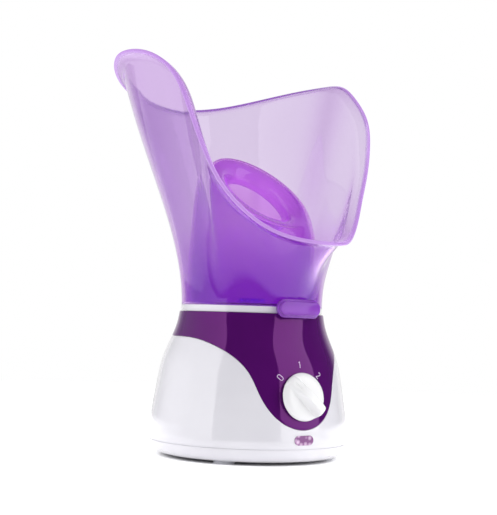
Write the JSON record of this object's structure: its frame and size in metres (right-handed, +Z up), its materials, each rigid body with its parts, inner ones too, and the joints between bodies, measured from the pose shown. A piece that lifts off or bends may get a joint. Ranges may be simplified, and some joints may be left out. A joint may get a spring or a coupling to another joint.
{
  "type": "facial steamer",
  "caption": "Tabletop facial steamer with a lift-off translucent face mask over a nasal cone, on a round heated base with a front selector knob.",
  "frame": {"origin": "on the floor under the axis of the round base", "axes": "+Z up; the knob, the indicator and the mask's chin side face -Y; +X is to the right seen from the front"},
  "size_m": [0.2084, 0.2333, 0.2634],
  "materials": {
    "housing_white": "moulded gloss",
    "fascia_purple": "high gloss",
    "mask_lilac": "clear tinted gloss",
    "cone_purple": "clear tinted gloss",
    "lens_clear": "clear faceted",
    "foot_rubber": "matt",
    "seal_silicone": "matt",
    "pan_aluminium": "drawn",
    "steel": "bright zinc",
    "brass_pin": "nickel plated",
    "ceramic": "matt ceramic",
    "switch_black": "moulded matt",
    "lamp_glass": "clear",
    "cord_white": "satin",
    "wire_red": "satin",
    "block_cream": "matt"
  },
  "bodies": {
    "base": {"housing": "housing_white", "fascia": "fascia_purple", "base_plate": "housing_white", "feet": "foot_rubber", "base_screws": "steel", "top_collar": "housing_white", "water_pan": "pan_aluminium", "pan_seal": "seal_silicone", "pan_screws": "steel", "heater_disc": "ceramic", "heater_clamp": "steel", "clamp_nuts": "steel", "thermostat": "steel", "thermal_fuse": "ceramic", "rotary_switch": "switch_black", "switch_nut": "steel", "indicator_lens": "lens_clear", "indicator_lamp": "lamp_glass", "lamp_holder": "block_cream", "strain_relief": "cord_white", "power_cord": "cord_white", "plug_body": "cord_white", "plug_pins": "brass_pin", "terminal_block": "block_cream", "wiring": "wire_red"},
    "knob": {"knob": "housing_white", "switch_spindle": "steel"},
    "face_mask": {"face_mask": "mask_lilac"},
    "nasal_cone": {"nasal_cone": "cone_purple"},
    "steam_cap": {"steam_cap": "cone_purple"}
  },
  "joints": [
    {"name": "knob_turn", "type": "hinge", "parent": "base", "child": "knob", "pos_m": [0, -0.0622, 0.0427], "axis": [0, 0.9848, -0.1736], "range_deg": [0, 96]},
    {"name": "mask_lift", "type": "slide", "parent": "base", "child": "face_mask", "axis": [0, 0, 1], "range_m": [0, 0.15]},
    {"name": "cone_lift", "type": "slide", "parent": "base", "child": "nasal_cone", "axis": [0, 0, 1], "range_m": [0, 0.15]},
    {"name": "cap_lift", "type": "slide", "parent": "base", "child": "steam_cap", "axis": [0, 0, 1], "range_m": [0, 0.02]}
  ]
}
